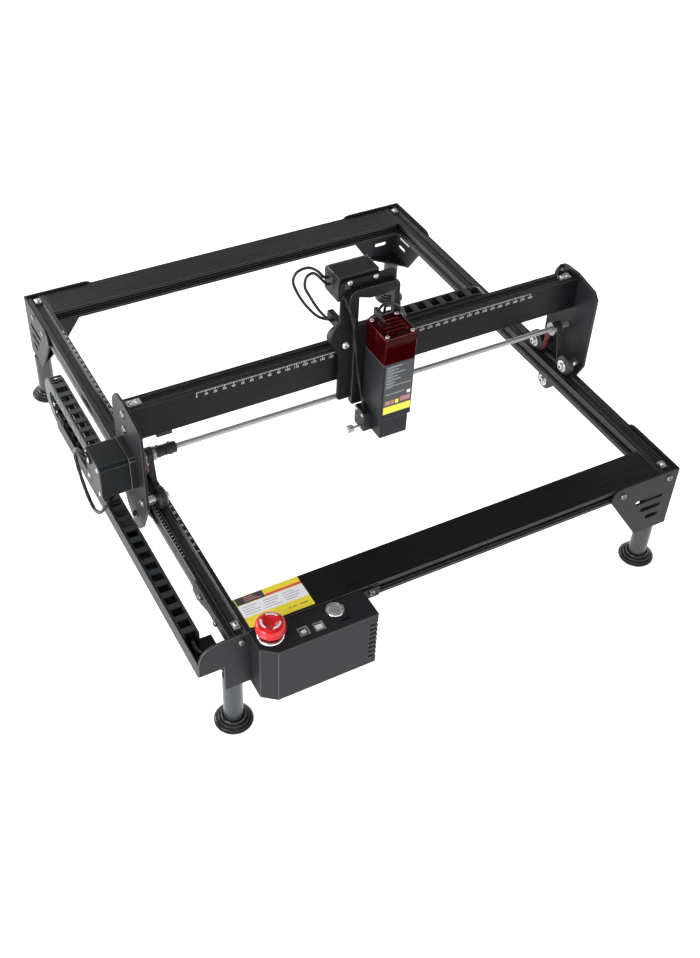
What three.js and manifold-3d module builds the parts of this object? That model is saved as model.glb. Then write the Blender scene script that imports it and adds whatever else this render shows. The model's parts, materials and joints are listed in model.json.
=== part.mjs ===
// Desktop laser cutter: an open frame on four legs, a gantry that rolls along the two side rails, a
// carriage that rolls along the gantry beam, and a laser head on a sliding bracket.
// Sizes are in millimetres. x runs along the gantry beam, y towards the back and z up. Until the
// last lines the origin is the front left corner of the frame, and z = 0 is the top of the rails.
import * as THREE from "three";
import { mergeVertices } from "three/addons/utils/BufferGeometryUtils.js";
import Module from "manifold-3d";

const wasm = await Module();
wasm.setup();

// Driving dimensions
const WIDTH = 524; // over the outer faces of the side rails
const DEPTH = 600; // length of the side rails
const RAIL = 20; // side of the square rail section
const BEAM_DEPTH = 42; // front and rear beam, front to back
const BEAM_HEIGHT = 17;
const FLOOR = -142; // what the feet stand on
const SHEET = 2.3; // bent sheet of the corner brackets
const GAP = 0.3; // clearance between neighbouring pieces
const BRACKET_TOP = 2;
const BRACKET_BOTTOM = -79;
const PLATE = 3; // gantry side plates
const GANTRY_Y = 220; // line of the cross shaft and of the lower wheels
const SHAFT_Z = 45;
const BEAM_X = { y0: 215, y1: 235, z0: 72, z1: 111 }; // section of the gantry beam
const CARRIAGE_X = 250;
const WHEEL = { radius: 12, tread: 2.9, half: 5.1, bore: 2.8 };
const STUD = 2.5; // radius of an axle stud
const BELT = { width: 6, thick: 1.4, depth: 2.4 }; // depth is below the top of its slot
const CHAIN = 16; // side of the square drag chain section
const CHAIN_WALL = 1.2;
const Y_CHAIN = { x: -25, start: 35, end: 334, bend: 404, radius: 20, z: -8, travel: 210 };
const X_CHAIN = { y: 245, start: 98, end: 308, bend: 408, radius: 12, z: 92, travel: 200 };
const BOX = { x0: 18, x1: 137, y0: -34, y1: -GAP, z0: -72, z1: -1, wall: 1.6 }; // control box
const LASER = { x0: 245, x1: 282, y0: 160, y1: 199.7 };
const CORD = 1.5; // radius of the thin leads

const RIM = 20; // sides of a wheel or other round piece
const HOLE_SIDES = 10;

// Materials
function paint(color, roughness, metalness) {
  return new THREE.MeshStandardMaterial({ color, roughness, metalness });
}

const anodised = paint(0x17181a, 0.45, 0.7);
const powder = paint(0x2b2c30, 0.55, 0.4);
const blackPlastic = paint(0x121314, 0.5, 0);
const steel = paint(0xb8babd, 0.3, 1);
const chrome = paint(0xd8d8da, 0.15, 1);
const rubber = paint(0x111111, 0.85, 0);
const legGrey = paint(0x9a9ca0, 0.4, 0.8);
const redPlastic = paint(0xb50d18, 0.35, 0);
const redAcrylic = paint(0x5a0710, 0.15, 0);
const cordBlack = paint(0x0d0d0e, 0.6, 0);

// Solids: joining and cutting
function solidOf(geometry) {
  const bare = geometry.index ? geometry.toNonIndexed() : geometry.clone();
  bare.deleteAttribute("normal");
  bare.deleteAttribute("uv");
  const merged = mergeVertices(bare, 1e-3);
  const mesh = new wasm.Mesh({
    numProp: 3,
    vertProperties: merged.attributes.position.array,
    triVerts: new Uint32Array(merged.index.array),
  });
  return new wasm.Manifold(mesh);
}

function geometryOf(solid) {
  const { vertProperties, triVerts } = solid.getMesh();
  const geometry = new THREE.BufferGeometry();
  geometry.setAttribute("position", new THREE.BufferAttribute(vertProperties, 3));
  geometry.setIndex(new THREE.BufferAttribute(triVerts, 1));
  geometry.computeVertexNormals();
  return geometry;
}

function join(...pieces) {
  return geometryOf(pieces.map(solidOf).reduce((whole, piece) => whole.add(piece)));
}

function cut(base, ...tools) {
  return geometryOf(
    tools.map(solidOf).reduce((left, tool) => left.subtract(tool), solidOf(base)),
  );
}

// Shapes: an outline is a list of [a, b] corners, or [a, b, r] where a corner is rounded
function outline(corners, ...holes) {
  const shape = new THREE.Shape();
  corners.forEach(([a, b, r = 0], i) => {
    const corner = new THREE.Vector2(a, b);
    if (!r) {
      if (i) shape.lineTo(a, b);
      else shape.moveTo(a, b);
      return;
    }
    const [before, after] = [corners.at(i - 1), corners[(i + 1) % corners.length]].map(
      ([p, q]) => new THREE.Vector2(p, q).sub(corner).setLength(r).add(corner),
    );
    if (i) shape.lineTo(before.x, before.y);
    else shape.moveTo(before.x, before.y);
    shape.quadraticCurveTo(a, b, after.x, after.y);
  });
  shape.holes = holes;
  return shape;
}

// The flats of a hole's polygon lie at its radius
function roundHole(a, b, radius) {
  const hole = new THREE.Path();
  hole.absarc(a, b, radius / Math.cos(Math.PI / HOLE_SIDES), 0, 2 * Math.PI);
  return hole;
}

function rectangle(a0, a1, b0, b1, r = 0) {
  return [[a0, b0, r], [a1, b0, r], [a1, b1, r], [a0, b1, r]];
}

function extrude(shape, depth) {
  const curveSegments = HOLE_SIDES / 2;
  return new THREE.ExtrudeGeometry(shape, { depth, bevelEnabled: false, curveSegments });
}

// slabX takes an outline in y and z, slabY one in x and z, slabZ one in x and y
function slabX(shape, x0, x1) {
  const turn = new THREE.Matrix4().set(0, 0, 1, x0, 1, 0, 0, 0, 0, 1, 0, 0, 0, 0, 0, 1);
  return extrude(shape, x1 - x0).applyMatrix4(turn);
}

function slabY(shape, y0, y1) {
  return extrude(shape, y1 - y0).rotateX(Math.PI / 2).translate(0, y1, 0);
}

function slabZ(shape, z0, z1) {
  return extrude(shape, z1 - z0).translate(0, 0, z0);
}

function block(x0, x1, y0, y1, z0, z1) {
  const box = new THREE.BoxGeometry(x1 - x0, y1 - y0, z1 - z0);
  return box.translate((x0 + x1) / 2, (y0 + y1) / 2, (z0 + z1) / 2);
}

function rodX(radius, x0, x1, y, z, sides = 12) {
  const rod = new THREE.CylinderGeometry(radius, radius, x1 - x0, sides);
  return rod.rotateZ(Math.PI / 2).translate((x0 + x1) / 2, y, z);
}

function rodY(radius, y0, y1, x, z, sides = 12) {
  const rod = new THREE.CylinderGeometry(radius, radius, y1 - y0, sides);
  return rod.translate(x, (y0 + y1) / 2, z);
}

// A ring of the given [radius, height] profile, listed up the outside and down the bore
function lathe(profile, sides = RIM) {
  const points = profile.map(([radius, height]) => new THREE.Vector2(radius, height));
  return new THREE.LatheGeometry([...points, points[0]], sides);
}

// A turned solid of revolution whose profile starts and ends on its axis, standing along z
function turned(profile, sides = RIM) {
  const points = profile.map(([radius, height]) => new THREE.Vector2(radius, height));
  return new THREE.LatheGeometry(points, sides).rotateX(Math.PI / 2);
}

// A lead through hand-chosen points
function lead(points, radius, steps) {
  const curve = new THREE.CatmullRomCurve3(points.map((p) => new THREE.Vector3(...p)));
  const section = new THREE.Shape();
  for (let i = 0; i < 8; i++) {
    const angle = ((i + 0.5) * Math.PI) / 4;
    const corner = [radius * Math.cos(angle), radius * Math.sin(angle)];
    if (i) section.lineTo(...corner);
    else section.moveTo(...corner);
  }
  return new THREE.ExtrudeGeometry(section, { steps, extrudePath: curve });
}

// Half of a slot in an extrusion: distance from the slot's middle, and depth under the surface
const SLOT = [[5.4, 0], [3.3, 2.1], [3.3, 3.9], [4.6, 3.9], [4.6, 4.6], [3, 6.2]];

// Section of an extrusion about its centre. slots lists where slots lie along each side, as
// distances from the side's middle, for the lower, right, upper and left sides in turn
function profile(width, height, slots, bores) {
  const corners = [];
  const sides = [[0, -1], [1, 0], [0, 1], [-1, 0]];
  sides.forEach(([na, nb], side) => {
    const reach = na ? width / 2 : height / 2;
    const run = na ? height / 2 : width / 2;
    const at = (along, depth) => [
      -nb * along + na * (reach - depth),
      na * along + nb * (reach - depth),
    ];
    corners.push(at(-run, 0));
    for (const middle of slots[side]) {
      SLOT.forEach(([half, depth]) => corners.push(at(middle - half, depth)));
      [...SLOT].reverse().forEach(([half, depth]) => corners.push(at(middle + half, depth)));
    }
  });
  return outline(corners, ...bores.map(([a, b]) => roundHole(a, b, 2.1)));
}

const machine = new THREE.Group();

function add(name, geometry, material, parent = machine) {
  const mesh = new THREE.Mesh(geometry, material);
  mesh.name = name;
  parent.add(mesh);
  return mesh;
}

// Frame: side rails, front and rear beam
function makeRails() {
  const section = profile(RAIL, RAIL, [[0], [0], [0], [0]], [[0, 0]]);
  const rail = slabY(section, 0, DEPTH);
  const belt = block(-BELT.width / 2, BELT.width / 2, 4, DEPTH - 4, -BELT.thick, 0);
  for (const [side, x] of [["left", RAIL / 2], ["right", WIDTH - RAIL / 2]]) {
    add(`${side}_rail`, rail, anodised).position.set(x, 0, -RAIL / 2);
    add(`y_belt_${side}`, belt, rubber).position.set(x, 0, -BELT.depth);
  }
  const beamSection = profile(BEAM_DEPTH, BEAM_HEIGHT, [[], [0], [], [0]], [[-11, 0], [11, 0]]);
  const beam = slabX(beamSection, RAIL + GAP, WIDTH - RAIL - GAP);
  add("front_beam", beam, anodised).position.set(0, BEAM_DEPTH / 2, -BEAM_HEIGHT / 2);
  add("rear_beam", beam, anodised).position.set(0, DEPTH - BEAM_DEPTH / 2, -BEAM_HEIGHT / 2);
}

// Corner brackets: two upright flanges outside the frame and a bottom plate that the leg bolts to.
// Each is drawn at a corner whose outer faces are x = 0 and y = 0, and mirrored into place.
const OUT = -(GAP + SHEET); // outer face of a flange

function bracket(louvreFront, louvreSide) {
  const flange = (louvred) => {
    const holes = [];
    if (louvred) {
      [[-30, 50], [-44, 40], [-58, 30]].forEach(([z, reach]) => {
        const slot = new THREE.Path(outline(rectangle(12, reach, z - 3, z + 3, 2.5)).getPoints(3));
        holes.push(slot);
      });
    }
    const corners = [[OUT, BRACKET_BOTTOM], [40, BRACKET_BOTTOM], [85, -15], [85, BRACKET_TOP, 12]];
    return outline([...corners, [OUT, BRACKET_TOP]], ...holes);
  };
  const floor = outline([[OUT, OUT], [40, OUT], [OUT, 40]]);
  return join(
    slabY(flange(louvreFront), OUT, -GAP),
    slabX(flange(louvreSide), OUT, -GAP),
    slabZ(floor, BRACKET_BOTTOM, BRACKET_BOTTOM + SHEET),
  );
}

// The front left bracket reaches out over the end of the cable tray and stops at the control box
const TRAY_BRACKET_BOTTOM = -69;
const TRAY_BRACKET_RIGHT = BOX.x0 - GAP;

function trayBracket() {
  const front = outline([
    [-9, TRAY_BRACKET_BOTTOM],
    [TRAY_BRACKET_RIGHT, TRAY_BRACKET_BOTTOM],
    [TRAY_BRACKET_RIGHT, BRACKET_TOP],
    [-34.4, BRACKET_TOP, 25],
    [-34.4, -36],
    [-9, -36],
  ]);
  const side = outline([
    [OUT, TRAY_BRACKET_BOTTOM], [8, TRAY_BRACKET_BOTTOM], [8, -12], [48, -12], [74, -21], [85, -17],
    [85, BRACKET_TOP, 12], [OUT, BRACKET_TOP],
  ]);
  const floor = outline([[OUT, OUT], [TRAY_BRACKET_RIGHT, OUT], [TRAY_BRACKET_RIGHT, 28], [OUT, 28]]);
  return join(
    slabY(front, OUT, -GAP),
    slabX(side, OUT, -GAP),
    slabZ(floor, TRAY_BRACKET_BOTTOM, TRAY_BRACKET_BOTTOM + SHEET),
  );
}

function makeBrackets() {
  add("corner_bracket_front_left", trayBracket(), powder);
  const places = [
    ["front_right", bracket(true, false), WIDTH, 0, -1, 1],
    ["rear_left", bracket(false, true), 0, DEPTH, 1, -1],
    ["rear_right", bracket(true, true), WIDTH, DEPTH, -1, -1],
  ];
  for (const [corner, geometry, x, y, turnX, turnY] of places) {
    const mesh = add(`corner_bracket_${corner}`, geometry, powder);
    mesh.position.set(x, y, 0);
    mesh.scale.set(turnX, turnY, 1);
  }
}

// Legs: a round pillar under each bracket's bottom plate, ending in a ridged foot
const LEG = { left: 5, right: WIDTH - 10, y: 13, radius: 10 };

function leg(top) {
  const { radius } = LEG;
  return turned([
    [0, 0], [20, 0], [20, 2.5], [18.6, 3.6], [18.2, 5], [15.6, 6], [15.2, 7.4], [12.6, 8.4], [12.4, 9.6],
    [radius, 9.6], [radius, top - FLOOR], [0, top - FLOOR],
  ]);
}

function makeLegs() {
  for (const [end, y] of [["front", LEG.y], ["rear", DEPTH - LEG.y]]) {
    for (const [side, x] of [["left", LEG.left], ["right", LEG.right]]) {
      const special = end === "front" && side === "left";
      const top = (special ? TRAY_BRACKET_BOTTOM : BRACKET_BOTTOM) - GAP;
      add(`leg_${end}_${side}`, leg(top), legGrey).position.set(x, y, FLOOR);
    }
  }
}

// Cable tray along the outside of the left rail, fastened to the front left bracket
function makeTray() {
  const { start, x } = Y_CHAIN;
  const [wall, end, floor, rim] = [1.4, 396, -37, -19];
  const outer = x - CHAIN / 2 - GAP - wall;
  const tray = join(
    block(outer, x + CHAIN / 2 - 1, 0, end, floor - wall, floor),
    block(outer, outer + wall, 0, end, floor - wall, rim),
    block(x, OUT - GAP, 0, start + 7, floor - wall, floor),
  );
  add("chain_tray", tray, powder);
}

// Drag chains. The lower run is a hollow guide, the bend carries a bar that slides inside it, and
// the upper run reaches from the bend to what the chain follows. A chain is drawn with its length
// along a, its height along b and its width across
function chainSleeve(start, end, low) {
  const wall = CHAIN_WALL;
  const half = CHAIN / 2;
  const hollow = outline(rectangle(wall - half, half - wall, low + wall, low + CHAIN - wall));
  return slabX(outline(rectangle(-half, half, low, low + CHAIN), hollow), start, end);
}

function chainBend(bend, radius, centre, travel) {
  const [inner, outer] = [radius - CHAIN / 2, radius + CHAIN / 2];
  const turn = new THREE.Shape();
  turn.absarc(bend, centre, outer, -Math.PI / 2, Math.PI / 2);
  turn.absarc(bend, centre, inner, Math.PI / 2, -Math.PI / 2, true);
  const inset = CHAIN_WALL + GAP;
  const low = centre - radius - CHAIN / 2;
  const half = CHAIN / 2 - inset;
  const bar = block(bend - travel, bend + 0.5, -half, half, low + inset, low + CHAIN - inset);
  return join(slabY(turn, -CHAIN / 2, CHAIN / 2), bar);
}

function chainUpper(start, bend, radius, centre) {
  const low = centre + radius - CHAIN / 2;
  return block(start, bend - GAP, -CHAIN / 2, CHAIN / 2, low, low + CHAIN);
}

function makeChains() {
  const alongY = new THREE.Group();
  alongY.position.set(Y_CHAIN.x, 0, 0);
  alongY.rotation.z = Math.PI / 2;
  machine.add(alongY);
  const alongX = new THREE.Group();
  alongX.position.set(0, X_CHAIN.y, 0);
  machine.add(alongX);
  const lowY = Y_CHAIN.z - Y_CHAIN.radius - CHAIN / 2;
  const lowX = X_CHAIN.z - X_CHAIN.radius - CHAIN / 2;
  add("y_chain_lower", chainSleeve(Y_CHAIN.start, Y_CHAIN.end, lowY), blackPlastic, alongY);
  const bendY = chainBend(Y_CHAIN.bend, Y_CHAIN.radius, Y_CHAIN.z, Y_CHAIN.travel);
  add("y_chain_bend", bendY, blackPlastic, alongY);
  const upperY = chainUpper(240, Y_CHAIN.bend, Y_CHAIN.radius, Y_CHAIN.z);
  add("y_chain_upper", upperY, blackPlastic, alongY);
  // The gantry's guide stands on a ledge that is screwed to the back of the beam
  const back = BEAM_X.y1 + GAP - X_CHAIN.y;
  const ledge = join(
    chainSleeve(X_CHAIN.start, X_CHAIN.end, lowX),
    block(X_CHAIN.start, X_CHAIN.end, -CHAIN / 2, CHAIN / 2, lowX - 1.4, lowX + 0.4),
    block(X_CHAIN.start, 526, back, CHAIN / 2, lowX - 1.9, lowX - 0.5),
    block(X_CHAIN.start, 526, back, back + 1.2, lowX - 1.9, lowX + 10),
  );
  add("x_chain_lower", ledge, blackPlastic, alongX);
  const bendX = chainBend(X_CHAIN.bend, X_CHAIN.radius, X_CHAIN.z, X_CHAIN.travel);
  add("x_chain_bend", bendX, blackPlastic, alongX);
  const upperX = chainUpper(290, X_CHAIN.bend, X_CHAIN.radius, X_CHAIN.z);
  add("x_chain_upper", upperX, blackPlastic, alongX);
}

// Control box under the front beam's left end
const ESTOP = { x: 34, y: -13 };
const POWER = { x: 102, y: -11.4 };

function boxOutline(inset) {
  const { x0, x1, y0, y1 } = BOX;
  return [
    [x0 + inset, y0 + 11 + inset / 2],
    [x0 + 14 + inset / 2, y0 + inset],
    [x1 - inset, y0 + inset],
    [x1 - inset, y1 - inset],
    [x0 + inset, y1 - inset],
  ];
}

function makeControlBox() {
  const { x1, y0, y1, z0, z1, wall } = BOX;
  const lid = z1 - 2;
  const vents = [];
  for (let i = 0; i < 8; i++) {
    const z = z0 + 10 + 6.5 * i;
    vents.push(block(x1 - 9, x1 + 1, y0 - 1, y0 + 14, z, z + 2.6));
  }
  const shell = join(
    slabZ(outline(boxOutline(0)), z0, lid - GAP),
    block(x1 - 1, x1 + 19, y1 - 2, y1, z0 + 56, z0 + 68),
  );
  const cavity = slabZ(outline(boxOutline(wall)), z0 + wall, lid + 1);
  const cordHole = rodY(3, y1 - 4, y1 + 1, 28, -34);
  add("control_box", cut(shell, cavity, cordHole, ...vents), powder);
  const openings = [
    roundHole(ESTOP.x, ESTOP.y, 8.5),
    roundHole(POWER.x, POWER.y, 7.2),
    new THREE.Path(outline(rectangle(58.5, 69.5, -26.5, -15.5)).getPoints()),
    new THREE.Path(outline(rectangle(74, 85, -27.5, -16.5)).getPoints()),
    new THREE.Path(outline(rectangle(99.5, 111, -27, -25)).getPoints()),
  ];
  add("control_box_cover", slabZ(outline(boxOutline(0), ...openings), lid, z1), powder);
  const board = block(30, x1 - 6, -27, -6, -60, -58.4);
  const chips = [block(40, 58, -22, -10, -58.6, -50), block(90, 112, -24, -10, -58.6, -46)];
  add("control_board", join(board, ...chips), paint(0x1d4a2c, 0.6, 0));
}

function makeButtons() {
  const collar = lathe([[8.5, 0], [12.6, 0], [13.2, 1.2], [12.2, 3.2], [8.5, 3.2]]);
  const flat = collar.rotateX(Math.PI / 2);
  add("estop_collar", flat, chrome).position.set(ESTOP.x, ESTOP.y, BOX.z1 + GAP);
  const stem = turned([[0, -20], [8, -20], [8, 7.2], [0, 7.2]]);
  add("estop_stem", stem, blackPlastic).position.set(ESTOP.x, ESTOP.y, 0);
  const crown = [[13.6, 2], [14.5, 5.5], [14, 9], [11.5, 11.6], [6, 12.5], [0, 12.5]];
  const cap = turned([[0, 0], [10, 0], ...crown]);
  add("estop_button", cap, redPlastic).position.set(ESTOP.x, ESTOP.y, 7.5);
  const power = turned([[0, -13], [6.9, -13], [6.9, 0.4], [6.2, 1.2], [0, 1.2]]);
  add("power_button", power, steel).position.set(POWER.x, POWER.y, BOX.z1 + 1);
}

// A grooved roller with its axis along y
function wheel() {
  const { radius, tread, half, bore } = WHEEL;
  const shoulder = radius - (half - tread);
  return lathe([
    [bore, -half], [shoulder, -half], [radius, -tread], [radius, tread], [shoulder, half], [bore, half],
  ]);
}

const WHEEL_RISE = WHEEL.radius - 2.1; // axis above the slot's surface
const Y_WHEELS = [
  ["front", GANTRY_Y - 28, WHEEL_RISE],
  ["rear", GANTRY_Y + 28, WHEEL_RISE],
  ["lower", GANTRY_Y, -RAIL - WHEEL_RISE],
];
const X_WHEELS = [
  ["left", CARRIAGE_X - 23, BEAM_X.z1 + WHEEL_RISE],
  ["right", CARRIAGE_X + 22, BEAM_X.z1 + WHEEL_RISE],
  ["lower", CARRIAGE_X, BEAM_X.z0 - WHEEL_RISE],
];
const BEAM_MIDDLE_Y = (BEAM_X.y0 + BEAM_X.y1) / 2;

function makeWheels() {
  const roller = wheel();
  for (const [place, y, z] of Y_WHEELS) {
    for (const [side, x] of [["left", RAIL / 2], ["right", WIDTH - RAIL / 2]]) {
      const mesh = add(`y_wheel_${side}_${place}`, roller, blackPlastic);
      mesh.position.set(x, y, z);
      mesh.rotation.z = Math.PI / 2;
    }
  }
  for (const [place, x, z] of X_WHEELS) {
    add(`x_wheel_${place}`, roller, blackPlastic).position.set(x, BEAM_MIDDLE_Y, z);
  }
}

// Gantry side plate, drawn for the left side with its inner face at x = 0: axle studs with a
// spacer and a head each, and a bearing hole for the cross shaft
function gantryPlate(...extras) {
  const face = outline(
    [
      [212, -46, 6], [228, -46, 6], [242, -32], [258, 5], [258, 98, 6], [247, 113.5, 8], [220, 115.5],
      [187, 109.5], [180, 102], [180, 9], [200, -32],
    ],
    roundHole(GANTRY_Y, SHAFT_Z, 3.5),
  );
  const toWheel = RAIL / 2 - WHEEL.half + 6.5; // from the plate's inner face to the wheel's side
  const pastWheel = toWheel + 2 * WHEEL.half + GAP;
  const studs = Y_WHEELS.flatMap(([, y, z]) => [
    rodX(4, -1, toWheel - GAP, y, z),
    rodX(STUD, -1, pastWheel + 1, y, z),
    rodX(4.5, pastWheel, pastWheel + 3, y, z, 6),
  ]);
  return join(slabX(face, -PLATE, 0), ...studs, ...extras);
}

const PLATE_LEFT = -6.5; // inner face of the left plate
const PLATE_RIGHT = 530.5;

function makeGantry() {
  const middle = BEAM_MIDDLE_Y;
  const height = BEAM_X.z1 - BEAM_X.z0;
  const section = profile(RAIL, height, [[0], [-9.5, 9.5], [0], []], [[0, -9.5], [0, 9.5]]);
  const beam = slabX(section, PLATE_LEFT + GAP, PLATE_RIGHT - GAP);
  add("x_beam", beam, anodised).position.set(0, middle, (BEAM_X.z0 + BEAM_X.z1) / 2);
  const shelf = block(-26.5, -PLATE + 1, 238, 258, 1.4, 3.4); // carries the end of the drag chain
  add("gantry_plate_left", gantryPlate(shelf), powder).position.x = PLATE_LEFT;
  const right = add("gantry_plate_right", gantryPlate(), powder);
  right.position.x = PLATE_RIGHT;
  right.scale.x = -1;
  // Cross shaft, driven by the motor outside the left plate
  const shaftEnd = PLATE_RIGHT + PLATE - 0.5;
  add("cross_shaft", rodX(3, PLATE_LEFT - PLATE + GAP, shaftEnd, GANTRY_Y, SHAFT_Z, 12), steel);
  const sleeve = lathe([[3.3, 0], [6, 0], [6, 25], [3.3, 25]], 16).rotateZ(-Math.PI / 2);
  add("shaft_coupler", sleeve, blackPlastic).position.set(15, GANTRY_Y, SHAFT_Z);
  const flanged = [[8, -7], [8, -3.7], [6.4, -3.7], [6.4, 3.5], [8, 3.5], [8, 4.5], [3.3, 4.5]];
  const toothed = lathe([[3.3, -7], ...flanged], 16);
  for (const [side, x, turn] of [["left", RAIL / 2, -1], ["right", WIDTH - RAIL / 2, 1]]) {
    const pulley = add(`drive_pulley_${side}`, toothed, steel);
    pulley.position.set(x, GANTRY_Y, SHAFT_Z);
    pulley.rotation.z = (turn * Math.PI) / 2;
  }
}

function makeYMotor() {
  const square = (half, chamfer) => {
    const [y, z] = [GANTRY_Y - 2, SHAFT_Z];
    const inner = half - chamfer;
    return outline([
      [y - inner, z - half], [y + inner, z - half], [y + half, z - inner], [y + half, z + inner],
      [y + inner, z + half], [y - inner, z + half], [y - half, z + inner], [y - half, z - inner],
    ]);
  };
  const face = PLATE_LEFT - PLATE - GAP;
  const motor = join(slabX(square(21, 3), -17, face), slabX(square(17.5, 3), -45, -16));
  add("y_motor", motor, steel);
  const shell = cut(slabX(square(21.4, 4), -48.4, -17 - GAP), slabX(square(19, 3), -46, -16));
  add("y_motor_cover", shell, blackPlastic);
}

// Carriage: plate with axle studs, a clip for the loops and an arm that holds the drag chain's end
function makeCarriage() {
  const [front, back] = [207, 210];
  const face = outline([
    [219, 50, 4], [281, 50, 4], [281, 104], [289.5, 113], [289.5, 133, 4], [279, 140], [239, 140, 3],
    [239, 176, 3], [281, 176], [281, 199, 3], [219, 199, 6], [219, 150], [210, 140, 6], [210, 124, 6],
    [219, 108],
  ]);
  const nearSide = BEAM_MIDDLE_Y - WHEEL.half;
  const farSide = BEAM_MIDDLE_Y + WHEEL.half + GAP;
  const studs = X_WHEELS.flatMap(([, x, z]) => [
    rodY(4, back - 1, nearSide - GAP, x, z),
    rodY(STUD, back - 1, farSide + 1, x, z),
    rodY(4.5, farSide, farSide + 3, x, z, 6),
  ]);
  const clip = block(219.5, 226, back - 1, 236, 137, 148);
  const arm = block(285.5, 289.5, back - 1, 253, 113.5, 121);
  const holder = block(285.5, 289.5, 237.4, 252.6, 97, 114);
  add("carriage_plate", join(slabY(face, front, back), ...studs, clip, arm, holder), powder);
  const skin = slabX(outline([[210.3, 174], [240, 174, 5], [240, 203, 7], [210.3, 203]]), 217, 263);
  add("x_motor_cover", cut(skin, block(219, 261, 212.3, 238, 170, 201)), blackPlastic);
  add("x_motor", block(221, 259, 213, 237, 172, 199), steel);
}

// Laser head on its slide, with a clamping screw at its lower left
const CLAMP = { y: 183.5, z: 27.5 };

function makeLaser() {
  const { x0, x1, y0, y1 } = LASER;
  const window = new THREE.Path(
    outline([[236, 147], [277, 147], [277, 178.5], [262, 176.5], [248, 177], [236, 181]]).getPoints(),
  );
  const edge = [
    [232, 45, 3], [285, 45, 3], [285, 160], [283, 165], [283, 190, 8],
    [225, 190, 12], [225, 165], [232, 155],
  ];
  add("slide_bracket", slabY(outline(edge, window), 200, 206.7), powder);
  add("laser_body", slabZ(outline(rectangle(x0, x1, y0, y1, 1.5)), 46.7, 119.4), powder);
  const coverTop = 152;
  const shell = slabZ(outline(rectangle(x0, x1, y0, y1, 1.5)), 119.7, coverTop);
  const cavity = block(x0 + 1.8, x1 - 1.8, y0 + 1.8, y1 - 1.8, 118, coverTop - 1.8);
  const slots = [-9, -3, 3, 9].map((dy) => {
    const front = (y0 + y1) / 2 + dy - 1.2;
    return block(x0 + 8, x1 - 6, front, front + 2.4, coverTop - 3, coverTop + 1);
  });
  add("laser_cover", cut(shell, cavity, ...slots), redAcrylic);
  const skirt = join(
    slabZ(outline(rectangle(x0 + 2, x1 - 2, y0 + 2, y1 - 2, 1)), 21.5, 46.4),
    block(236, x0 + 4, 178, 197.5, 23, 46.4),
  );
  const mouth = block(x0 + 3.6, x1 - 3.6, y0 + 3.6, y1 - 3.6, 20, 48);
  const screwHole = rodX(2.2, 235, x0 - 1, CLAMP.y, CLAMP.z);
  add("laser_hood", cut(skirt, mouth, screwHole), powder);
  const { y, z } = CLAMP;
  const knob = join(rodX(4.2, 219, 226, y, z, 12), rodX(1.8, 225, 243.5, y, z, 8));
  add("thumbscrew", knob, steel);
}

// Leads that are held at both ends
function makeLeads() {
  const loopOuter = [
    [219.1, 229, 142], [216, 229, 142.3], [206, 230, 148], [191, 230, 167], [180, 230, 188],
    [177, 230, 200], [181, 230, 208], [193, 230, 210], [203, 230, 204], [212, 230, 193.5],
    [216.4, 230, 192.8],
  ];
  const loopInner = [
    [219.1, 222, 145], [216, 222, 145.5], [205, 224, 158], [193, 226, 180], [188, 226, 192],
    [190, 226, 203], [197, 226, 205], [205, 226, 197], [212.5, 226, 188], [216.6, 226, 187],
  ];
  const laserLead = [
    [256, 184, 152.4], [255.8, 184.2, 156], [251, 189, 164], [258, 192, 170], [272, 193, 167],
    [284, 195, 156], [292, 201, 142], [296, 213, 134], [296, 230, 133], [294, 243, 126],
    [294, 245, 112.4],
  ];
  const sensorLead = [
    [221, 206.6, 184], [220.8, 203, 183], [221, 198.5, 178], [225, 197, 168], [229, 196.8, 148],
    [233, 196.8, 117], [238, 196.5, 80], [240, 192, 60], [240, 188.5, 50], [240, 188, 46.8],
  ];
  const motorLead = [
    [-49, 226, 60], [-52, 226.6, 60.2], [-55, 240, 61], [-55, 253, 45], [-53, 252, 20], [-51, 240, -4],
    [-50, 224, -10], [-48, 208, 0], [-42, 204, 12], [-33, 212, 14], [-26, 226, 13], [-25, 239.6, 12],
  ];
  const boxLead = [
    [-25, 34.7, -28], [-25.5, 26, -30], [-21, 17, -31.5], [-12, 12.5, -30.5], [-1.5, 12, -30],
    [10, 11, -31], [21, 8, -33], [28, 0, -34],
  ];
  add("x_loop_outer", lead(loopOuter, CORD, 24), cordBlack);
  add("x_loop_inner", lead(loopInner, CORD, 20), cordBlack);
  add("laser_cable", lead(laserLead, CORD, 22), cordBlack);
  add("sensor_cable", lead(sensorLead, CORD, 22), cordBlack);
  add("y_motor_cable", lead(motorLead, 2, 26), cordBlack);
  add("box_cable", lead(boxLead, 2, 12), cordBlack);
}

makeRails();
makeBrackets();
makeLegs();
makeTray();
makeChains();
makeControlBox();
makeButtons();
makeWheels();
makeGantry();
makeYMotor();
makeCarriage();
makeLaser();

// The part's origin is the middle of its bounding box, leads left out, on the floor
machine.updateMatrixWorld(true);
const bounds = new THREE.Box3().setFromObject(machine);
const centre = bounds.getCenter(new THREE.Vector3());
machine.position.set(-centre.x, -centre.y, -bounds.min.z);
makeLeads();

const root = new THREE.Group();
root.add(machine);

export default root;
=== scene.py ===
"""Looks of the desktop laser cutter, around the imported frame.

Lengths are millimetres on the machine's own axes, as in part.mjs: x along the gantry beam, y
towards the back, and z up from the top of the rails. at() turns them into the row frame's metres.
"""
import json
import math

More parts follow.
